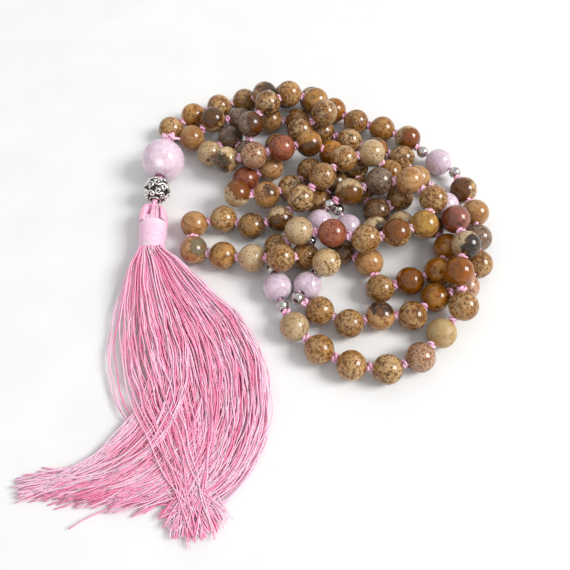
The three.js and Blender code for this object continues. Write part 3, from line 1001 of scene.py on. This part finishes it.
def make_winding():
    """The neck's winding: one thread in close turns over the bundle's core, a little uneven."""
    length = (WRAP_TO - WRAP_FROM).length / MM
    points = []
    for i in range(TURNS * TURN_STEPS + 1):
        a = 2 * math.pi * i / TURN_STEPS
        share = i / (TURNS * TURN_STEPS)
        along = WINDING_TOP + WINDING_R + (length - 0.6 - 2 * WINDING_R) * share + 0.03 * math.sin(2.3 * a)
        out = WRAP_R / MM - WINDING_R - 0.25 * share + 0.04 * math.sin(1.37 * a)
        points.append(in_tassel(out * math.cos(a), along, out * math.sin(a)))
    core_end = length + 0.7
    core_profile = [(0.05, 0.1), (CORE_R, 0.1), (CORE_R, core_end), (0.05, core_end)]
    core_verts, core_faces = lathe(core_profile, 40)
    turn = np.stack([np.array(TASSEL_SIDE), np.array(TASSEL_UP), np.array(TASSEL_DOWN)], 1)
    core = {
        "verts": core_verts * MM @ turn.T + np.array(WRAP_FROM),
        "faces": core_faces,
        "uv": [(0, 0)] * (4 * len(core_faces)),
    }
    winding = toned(tube(points, WINDING_R * MM, 8), 0.8)
    piece = mesh_piece("neck_winding_thread", [winding, toned(core, 0.2)], [WRAP_CORD])
    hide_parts("tassel_neck_wrap")
    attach(piece, "tassel")


# The fringe's guides in the layout's millimetres, from the neck to the cut ends. The lengths below are in
# millimetres too.
GUIDES = {
    "left": [(-41.1, -2.4), (-43.5, -13.9), (-44.8, -26.6), (-43.6, -38.3), (-39.7, -49.5), (-34.6, -59.1),
             (-28.6, -68.5), (-21.5, -76.4), (-18, -80)],
    "middle": [(-38.1, -2.5), (-35.8, -15.5), (-30.2, -28), (-26.1, -39.7), (-23.5, -50.5), (-22.2, -59.5),
               (-22.4, -69), (-23, -78.6), (-23.4, -82)],
    "inner": [(-39.6, -2.4), (-39.1, -15.4), (-37, -27.8), (-35.4, -39.4), (-37.2, -50.2), (-43.4, -59.4),
              (-54, -66), (-67.5, -69.2)],
    "right": [(-35.2, -2.6), (-25.1, -14.5), (-13.6, -27.6), (-7.7, -39.4), (-6.5, -50.5), (-8, -59.9),
              (-14.1, -68.9), (-25.1, -74), (-36, -76)],
}
GUIDE_STEPS = 90
THREAD_R = 0.17
THREAD_STEPS = 62
THREAD_LENGTH = 88
PILE = [(0, 8.2), (8, 7.2), (24, 4.9), (45, 4.0), (70, 3.0), (95, 1.6)]  # height of the fringe along it
MOUTH = (-37.8, -3.4, 4.4)  # where the threads come out of the winding
MOUTH_R = 3.4
SPREAD_END, DRIFT_END = 9, 30  # down a thread: where it is out of the bundle, and where it drifts in full
WILD_SHARE = 0.08  # of the threads, that stray further than the rest


def sweep_thread(low, high, share, rank, length, clump, stray):
    """One thread, as points: a blend of two guides, at its rank in the pile's height, cut to a length.

    It drifts with its clump, and has a wave, an offset and a fan at the end of its own.
    """
    line = low * (1 - share) + high * share
    steps = np.r_[0, np.cumsum(np.linalg.norm(np.diff(line, axis=0), axis=1))]
    reach = min(length, steps[-1])
    s = np.linspace(0, reach, THREAD_STEPS)
    x, y = (np.interp(s, steps, line[:, k]) for k in (0, 1))
    heading = np.stack([np.gradient(x), np.gradient(y)], 1)
    heading /= np.maximum(np.linalg.norm(heading, axis=1), 1e-6)[:, None]
    grow = np.clip(s / DRIFT_END, 0, 1) ** 1.3
    far = np.clip((s - 0.62 * reach) / (0.38 * reach), 0, 1) ** 1.6
    wave = clump["amp"] * np.sin(s * clump["rate"] + clump["phase"]) * grow
    wave += 0.28 * np.sin(s * stray["rate"] + stray["phase"]) * grow
    wave += stray["offset"] * grow + stray["fan"] * far
    x = x - heading[:, 1] * wave
    y = y + heading[:, 0] * wave
    top = np.interp(s, *zip(*PILE))
    z = THREAD_R + (top - 2 * THREAD_R) * rank + 0.15 * np.sin(s * 0.4 + stray["phase"]) * grow
    # out of the winding: a round bundle that spreads into the pile
    neck = np.clip(s / SPREAD_END, 0, 1)
    neck = neck * neck * (3 - 2 * neck)
    mouth_x = MOUTH[0] + stray["disc"][0]
    mouth_z = MOUTH[2] + stray["disc"][1]
    x = mouth_x + (x - mouth_x) * neck
    y = MOUTH[1] + (y - MOUTH[1]) * np.clip(s / 3, 0, 1)
    z = np.maximum(mouth_z + (z - mouth_z) * neck, THREAD_R + 0.02)
    return np.stack([x, y, z], 1)


def make_fringe():
    """Families of threads between the guides, in clumps that drift together."""
    left, middle, inner, right = (smooth_path(guide, GUIDE_STEPS) for guide in GUIDES.values())
    families = [
        # two guides and the share of the way between them, threads, clumps, lowest and highest rank,
        # spread of the ends, place across the mouth as a share of its radius, palest tone (lower for the
        # lower layers, as painted shade inside the pile), piece
        (inner, right, (0, 1), 225, 40, 0.0, 0.5, 1.2, (-0.5, 0.95), 0.4, "lowest"),
        (inner, right, (0, 1), 225, 36, 0.1, 0.8, 1.2, (-0.5, 0.95), 0.7, "under"),
        (inner, right, (0, 1), 225, 30, 0.1, 0.92, 1.6, (-0.6, 0.9), 1.0, "middle"),
        (left, middle, (0.02, 1), 76, 20, 0.4, 1.0, 3.2, (-0.95, 0.0), 1.0, "over"),
        (middle, right, (0, 1), 60, 14, 0.6, 1.0, 3.0, (-0.1, 0.8), 1.0, "over"),
        (left, middle, (-0.26, -0.02), 5, 5, 0.2, 0.6, 1.5, (-0.97, -0.8), 1.5, "over"),
        (middle, right, (1.02, 1.1), 4, 4, 0.3, 0.6, 2.0, (0.8, 0.97), 1.5, "over"),
    ]
    pieces = {"lowest": [], "under": [], "middle": [], "over": []}
    for low, high, (first, last), count, clumps, bottom, top, fan, neck, palest, piece in families:
        groups = [
            {"share": (k + 0.5) / clumps, "amp": rng.uniform(0.2, 1.0), "rate": rng.uniform(0.05, 0.13),
             "phase": rng.uniform(0, 6.28), "rank": rng.uniform(0, 1), "length": rng.uniform(-2.5, 1.5)}
            for k in range(clumps)
        ]
        for k in range(count):
            clump = groups[k % clumps]
            share = min(1, max(0, clump["share"] ** 0.85 + rng.gauss(0, 0.5 / clumps)))
            rank = min(1, max(0, 0.65 * clump["rank"] + 0.35 * rng.random()))
            rank = bottom + (top - bottom) * rank
            # tone: random up to the layer's palest, so the lower layers are deeper pink as painted shade
            # inside the pile, plus a paler tone towards the two sides as painted light through the thin
            # edges
            tone = palest * rng.random() + 0.35 * (2 * share - 1) ** 4
            across = 3.45 * (neck[0] + (neck[1] - neck[0]) * share) + rng.gauss(0, 0.35)
            across = min(MOUTH_R, max(-MOUTH_R, across))
            above = (2 * rank - 1) * math.sqrt(3.5**2 - across**2) * rng.uniform(0.75, 1.0)
            wild = rng.random() < WILD_SHARE
            stray = {
                "rate": rng.uniform(0.25, 0.6), "phase": rng.uniform(0, 6.28),
                "offset": min(2.0, max(-2.0, rng.gauss(0, 1.3 if wild else 0.4))),
                "fan": min(6.0, max(-6.0, rng.gauss(0, 2.0 * fan if wild else fan))),
                "disc": (across, above),
            }
            length = THREAD_LENGTH + clump["length"] + rng.gauss(0, 1.6)
            path = sweep_thread(low, high, first + (last - first) * share, rank, length, clump, stray)
            world = path * MM + np.array(SHIFT)
            pieces[piece].append(toned(tube(world, THREAD_R * MM, 4), tone))
    for name, parts in pieces.items():
        piece = mesh_piece("fringe_" + name, parts, [FLOSS])
        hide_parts("tassel_fringe")
        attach(piece, "tassel")


make_loop()
make_head()
make_winding()
make_fringe()


# ------------------------------ floor and light
def make_floor():
    g = Graph("floor_paint")
    place = g.node("TexCoord").outputs["Object"]
    grain = g.noise(place, 0.0, 60.0, 4.0)
    material = g.finish(
        Base_Color=g.mix(g.rise(grain, 0.3, 0.7), rgb(224, 225, 226), rgb(229, 229, 229)),
        Roughness=0.7,
    )
    half = 1.5
    corners = [(-half, -half, 0), (half, -half, 0), (half, half, 0), (-half, half, 0)]
    mesh = bpy.data.meshes.new("floor")
    mesh.from_pydata(corners, [], [(0, 1, 2, 3)])
    mesh.materials.append(material)
    link_piece("floor", mesh)


WINDOW_SIDE, WINDOW_WATTS = 0.6, 21.0
WINDOW_TOWARD = Vector((0.72, -0.08, 0.68)).normalized()
WINDOW_DISTANCE = 1.5
SKY, SKY_STRENGTH = (0.98, 0.99, 1.0, 1), 0.72


def make_window():
    """One square lamp, high on the right."""
    data = bpy.data.lights.new("window", "AREA")
    data.shape = "SQUARE"
    data.size = WINDOW_SIDE
    data.energy = WINDOW_WATTS
    data.color = (1.0, 0.985, 0.96)
    lamp = link_piece("window", data)
    turn = WINDOW_TOWARD.to_track_quat("Z", "Y").to_matrix().to_4x4()
    lamp.matrix_world = Matrix.Translation(WINDOW_TOWARD * WINDOW_DISTANCE) @ turn


def make_light():
    world = bpy.data.worlds.new("studio")
    world.use_nodes = True
    background = world.node_tree.nodes["Background"]
    background.inputs["Color"].default_value = SKY
    background.inputs["Strength"].default_value = SKY_STRENGTH
    bpy.context.scene.world = world
    make_window()
    view = bpy.context.scene.view_settings
    view.view_transform = "Standard"
    view.look = "None"


make_floor()
make_light()
